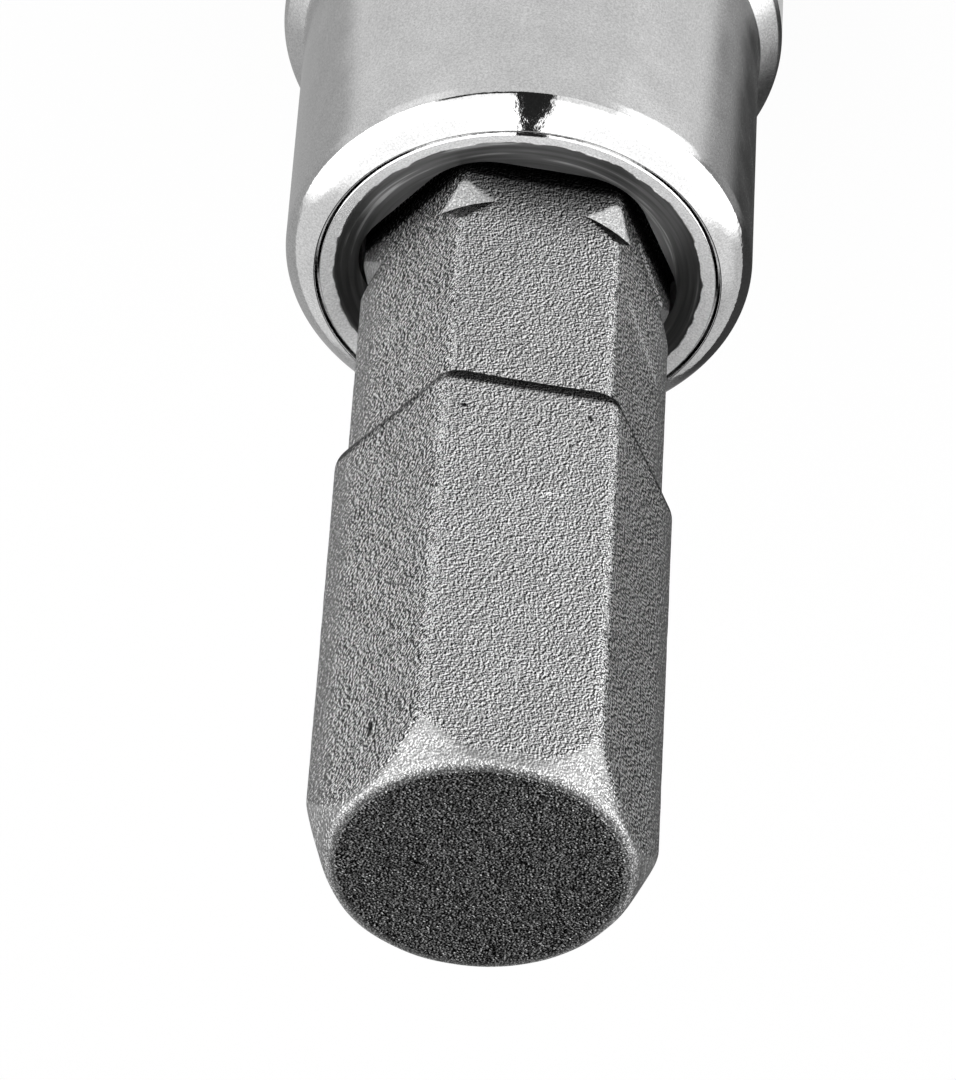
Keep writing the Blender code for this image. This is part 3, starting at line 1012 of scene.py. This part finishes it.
def make_ring(settings):
    """The spring ring: a split hoop of round wire with rounded ends."""
    s = settings.ring
    half = s.wire / 2
    middle_z = (RING_LOW.z + RING_HIGH.z) / 2
    end_turn = half / s.radius
    stations = []
    for step in range(END_STEPS):
        swell = math.sin(math.pi / 2 * step / END_STEPS)
        stations.append((s.opening / 2 + end_turn * (1 - swell), half * max(swell, END_LEAST)))
    span = 2 * math.pi - s.opening - 2 * end_turn
    for step in range(RING_STEPS + 1):
        stations.append((s.opening / 2 + end_turn + span * step / RING_STEPS, half))
    for turn, reach in stations[:END_STEPS]:
        stations.append((2 * math.pi - turn, reach))
    loops = []
    for turn, reach in sorted(stations):
        loop = []
        for step in range(WIRE_STEPS):
            side = 2 * math.pi * step / WIRE_STEPS
            r = s.radius + reach * math.cos(side)
            loop.append((r * math.cos(turn), r * math.sin(turn), middle_z + reach * math.sin(side)))
        loops.append(loop)
    bm, rings = bridged(loops, closed=False)
    for ring in (rings[0], rings[-1]):
        bm.faces.new(ring)
    ring = placed("spring_ring", bm)
    finish_piece(ring, drawn_wire(settings.finish), "socket", "retaining_ring")
    return ring


# Stage

FLOOR_HEIGHT = -0.02 * MM
TONES_HEIGHT = -0.01 * MM
TONES_NEAR = 16 * MM
TONES_FAR = 0.6
TONE_STEPS = 180
REACH_STEPS = 24
LIGHT_STEP = 2.0
LIGHT_LOW = 1.0
LIGHT_HIGH = 80.0
RISE_STEPS = 40
TONE = "tone"
TONE_LIMIT = 10.0
SENSOR_WIDTH = 36
CLIP_START = 0.01

# Name, brightness, then bearing from the camera's side to its right and rise above the horizon, both in
# degrees as (from, to, softness of either edge)
LEFT_LIGHTS = (
    ("front", 1.4, (-40, -6, 10, 2), (9, 25, 4, 8)),
    ("front, high", 2.6, (-40, -6, 10, 2), (25, 76, 8, 6)),
    ("side", 2.4, (-108, -40, 14, 10), (-9, 40, 2, 10)),
    ("side, high", 1.5, (-108, -40, 14, 10), (40, 76, 10, 6)),
    ("back", 0.8, (-165, -108, 20, 14), (-9, 22, 2, 14)),
    ("back, high", 0.8, (-142, -108, 20, 14), (22, 52, 14, 16)),
)
RIGHT_LIGHTS = (
    ("front", 1.1, (11, 40, 2, 10), (-9, 25, 2, 8)),
    ("front, high", 1.9, (11, 40, 2, 10), (25, 76, 8, 6)),
    ("side", 2.4, (40, 112, 10, 14), (-9, 40, 2, 10)),
    ("side, high", 1.5, (40, 112, 10, 14), (40, 76, 10, 6)),
    ("back", 0.62, (112, 165, 14, 20), (-9, 18, 2, 14)),
    ("back, high", 0.85, (112, 142, 14, 20), (18, 52, 14, 16)),
)

# Reach from the axis in metres, as (from, to, softness of either edge)
ALL_REACH = (0.0, 1.0, 0.01, 0.01)
NEAR_REACH = (0.0, 0.034, 0.01, 0.006)
FAR_REACH = (0.034, 1.0, 0.006, 0.01)

# Name, brightness, then bearing in degrees and reach
FLOOR_TONES = (
    ("front", 0.74, (-85, 40, 12, 12), ALL_REACH),
    ("left", 0.42, (-165, -85, 20, 12), ALL_REACH),
    ("right, near", 0.74, (40, 86, 12, 12), NEAR_REACH),
    ("right, near edge", 0.3, (86, 108, 12, 14), NEAR_REACH),
    ("left, far", 0.3, (-60, -30, 10, 10), FAR_REACH),
    ("right, far", 1.9, (40, 75, 12, 14), FAR_REACH),
    ("right", 0.3, (75, 108, 14, 14), FAR_REACH),
    ("right, back", 0.05, (108, 165, 14, 20), ALL_REACH),
    ("back", 0.5, (165, 195, 20, 20), ALL_REACH),
    ("back, from the left", 0.5, (-195, -165, 20, 20), ALL_REACH),
)


def floor_material(studio):
    """A pale floor: white to the camera, a little greyer in reflections, with a soft shadow."""
    tree = Tree("pale floor")
    tree.nodes.remove(tree.nodes["Principled BSDF"])
    matt = tree.add("ShaderNodeBsdfDiffuse", {"Color": (*studio.floor, 1)})
    path = tree.add("ShaderNodeLightPath").outputs
    seen = tree.by_share(path["Is Camera Ray"], studio.floor_mirrored, 1)
    glow = tree.add("ShaderNodeEmission", {"Strength": seen})
    shown = path["Is Camera Ray"]
    for kind in ("Is Glossy Ray", "Is Transmission Ray"):
        shown = tree.math("MAXIMUM", shown, path[kind])
    lift = tree.by_share(shown, 0, studio.floor_lift)
    shaders = {1: matt.outputs["BSDF"], 2: glow.outputs["Emission"]}
    mix = tree.add("ShaderNodeMixShader", {"Fac": lift, **shaders})
    tree.feed(tree.nodes["Material Output"], {"Surface": mix.outputs["Shader"]})
    return tree.material


def light_material(name, strength):
    """Emission for a soft light or a card, brighter and darker by the mesh's own tones."""
    tree = Tree(name)
    tree.nodes.remove(tree.nodes["Principled BSDF"])
    tone = tree.add("ShaderNodeAttribute")
    tone.attribute_name = TONE
    level = tree.spread(tone.outputs["Fac"], 0, TONE_LIMIT, 0, TONE_LIMIT * strength)
    glow = tree.add("ShaderNodeEmission", {"Strength": level})
    tree.feed(tree.nodes["Material Output"], {"Surface": glow.outputs["Emission"]})
    return tree.material


def eased(value, softness):
    """Rises from 0 to 1 around 0."""
    share = min(max(value / softness + 0.5, 0.0), 1.0)
    return share * share * (3 - 2 * share)


def tone_at(zones, across, along):
    """Brightness at a place: the sum of soft-edged zones, each a level and two ranges with softness."""
    total = 0.0
    for _, level, *ranges in zones:
        for value, (low, high, low_soft, high_soft) in zip((across, along), ranges):
            level *= eased(value - low, low_soft) * eased(high - value, high_soft)
        total += level
    return total


def stage_patch(name, studio, zones, place, first, second):
    """A glowing patch over a grid of two rows of values, laid out by place().

    There the camera is on +Y and the image's right on +X.
    """
    to_camera = Matrix.Rotation(studio.azimuth - math.pi, 3, "Z")
    mesh = bpy.data.meshes.new(name)
    grid = [(across, along) for across in first for along in second]
    faces = []
    for row in range(len(first) - 1):
        for column in range(len(second) - 1):
            corner = row * len(second) + column
            faces.append((corner, corner + 1, corner + len(second) + 1, corner + len(second)))
    mesh.from_pydata([to_camera @ Vector(place(*spot)) for spot in grid], [], faces)
    tones = mesh.attributes.new(TONE, "FLOAT", "POINT")
    tones.data.foreach_set("value", [tone_at(zones, *spot) for spot in grid])
    patch = bpy.data.objects.new(name, mesh)
    bpy.context.scene.collection.objects.link(patch)
    mesh.materials.append(light_material(name, studio.light_level))
    patch.visible_camera = False
    return patch


def soft_lights(name, studio, zones):
    """The soft lights of one side as a patch of a sphere."""

    def on_sphere(bearing, rise):
        turn = math.radians(bearing)
        up = math.radians(rise)
        out = studio.light_distance * math.cos(up)
        return out * math.sin(turn), out * math.cos(turn), studio.light_distance * math.sin(up)

    low = min(zone[2][0] - zone[2][2] / 2 for zone in zones)
    high = max(zone[2][1] + zone[2][3] / 2 for zone in zones)
    bearings = evenly(low, high, round((high - low) / LIGHT_STEP))
    return stage_patch(name, studio, zones, on_sphere, bearings, evenly(LIGHT_LOW, LIGHT_HIGH, RISE_STEPS))


def floor_tones(name, studio, zones):
    """The tones of the floor as reflections show them; nothing else sees them."""

    def on_floor(bearing, reach):
        turn = math.radians(bearing)
        return reach * math.sin(turn), reach * math.cos(turn), TONES_HEIGHT

    reaches = [TONES_NEAR * (TONES_FAR / TONES_NEAR) ** share for share in evenly(0, 1, REACH_STEPS)]
    card = stage_patch(name, studio, zones, on_floor, evenly(-180, 180, TONE_STEPS), reaches)
    card.visible_diffuse = False
    card.visible_shadow = False
    return card


def make_stage(settings):
    """Floor, soft lights, surroundings and camera."""
    studio = settings.studio
    mesh = bpy.data.meshes.new("floor")
    half = studio.floor_size / 2
    corners = [(-half, -half), (half, -half), (half, half), (-half, half)]
    mesh.from_pydata([(x, y, FLOOR_HEIGHT) for x, y in corners], [], [(0, 1, 2, 3)])
    floor = bpy.data.objects.new("floor", mesh)
    bpy.context.scene.collection.objects.link(floor)
    mesh.materials.append(floor_material(studio))

    soft_lights("left_lights", studio, LEFT_LIGHTS)
    soft_lights("right_lights", studio, RIGHT_LIGHTS)
    floor_tones("floor_tones", studio, FLOOR_TONES)

    world = bpy.data.worlds.new("studio")
    world.use_nodes = True
    background = world.node_tree.nodes["Background"]
    background.inputs["Color"].default_value = (1, 1, 1, 1)
    background.inputs["Strength"].default_value = studio.ambient
    bpy.context.scene.world = world

    back = Vector(
        (
            math.sin(studio.azimuth) * math.cos(studio.elevation),
            -math.cos(studio.azimuth) * math.cos(studio.elevation),
            math.sin(studio.elevation),
        )
    )
    upright = (-back).to_track_quat("-Z", "Y").to_matrix()
    axes = upright @ Matrix.Rotation(studio.roll, 3, "Z")
    tip = Vector((0, 0, BIT_HIGH.z))
    place = tip + axes @ Vector((-studio.tip_shift, studio.tip_drop, studio.tip_depth))
    camera_data = bpy.data.cameras.new("camera")
    camera_data.sensor_width = SENSOR_WIDTH
    camera_data.lens = studio.lens
    camera_data.clip_start = CLIP_START
    camera = bpy.data.objects.new("camera", camera_data)
    camera.matrix_world = Matrix.Translation(place) @ axes.to_4x4()
    bpy.context.scene.collection.objects.link(camera)
    bpy.context.scene.camera = camera
    bpy.context.scene.view_settings.view_transform = "Standard"


class SOCKET_OT_body(bpy.types.Operator):
    """Build the plated body"""

    bl_idname = "socket.body"
    bl_label = "Plated body"

    def execute(self, context):
        make_body(context.scene.socket_settings)
        return {"FINISHED"}


class SOCKET_OT_bit(bpy.types.Operator):
    """Build the blasted bit"""

    bl_idname = "socket.bit"
    bl_label = "Blasted bit"

    def execute(self, context):
        make_bit(context.scene.socket_settings)
        return {"FINISHED"}


class SOCKET_OT_ring(bpy.types.Operator):
    """Build the spring ring"""

    bl_idname = "socket.ring"
    bl_label = "Spring ring"

    def execute(self, context):
        make_ring(context.scene.socket_settings)
        return {"FINISHED"}


class SOCKET_OT_stage(bpy.types.Operator):
    """Build the floor, the lights and the camera"""

    bl_idname = "socket.stage"
    bl_label = "Stage"

    def execute(self, context):
        make_stage(context.scene.socket_settings)
        return {"FINISHED"}


OPERATORS = (SOCKET_OT_body, SOCKET_OT_bit, SOCKET_OT_ring, SOCKET_OT_stage)


class SOCKET_PT_panel(bpy.types.Panel):
    """Lists the pieces of the socket"""

    bl_idname = "SOCKET_PT_panel"
    bl_label = "Hex bit socket"
    bl_space_type = "VIEW_3D"
    bl_region_type = "UI"
    bl_category = "Socket"

    def draw(self, context):
        settings = context.scene.socket_settings
        for operator in OPERATORS:
            self.layout.operator(operator.bl_idname)
        for group in (settings.body, settings.bit, settings.ring, settings.finish, settings.studio):
            box = self.layout.box()
            for name in group.bl_rna.properties.keys():
                if name not in ("rna_type", "name"):
                    box.prop(group, name)


CLASSES = (BodySizes, BitSizes, RingSizes, Finishes, Studio, Settings, *OPERATORS, SOCKET_PT_panel)


def register():
    for item in CLASSES:
        bpy.utils.register_class(item)
    bpy.types.Scene.socket_settings = bpy.props.PointerProperty(type=Settings)


def unregister():
    del bpy.types.Scene.socket_settings
    for item in reversed(CLASSES):
        bpy.utils.unregister_class(item)


def main():
    register()
    bpy.ops.socket.body()
    bpy.ops.socket.bit()
    bpy.ops.socket.ring()
    bpy.ops.socket.stage()


if __name__ == "__main__":
    main()
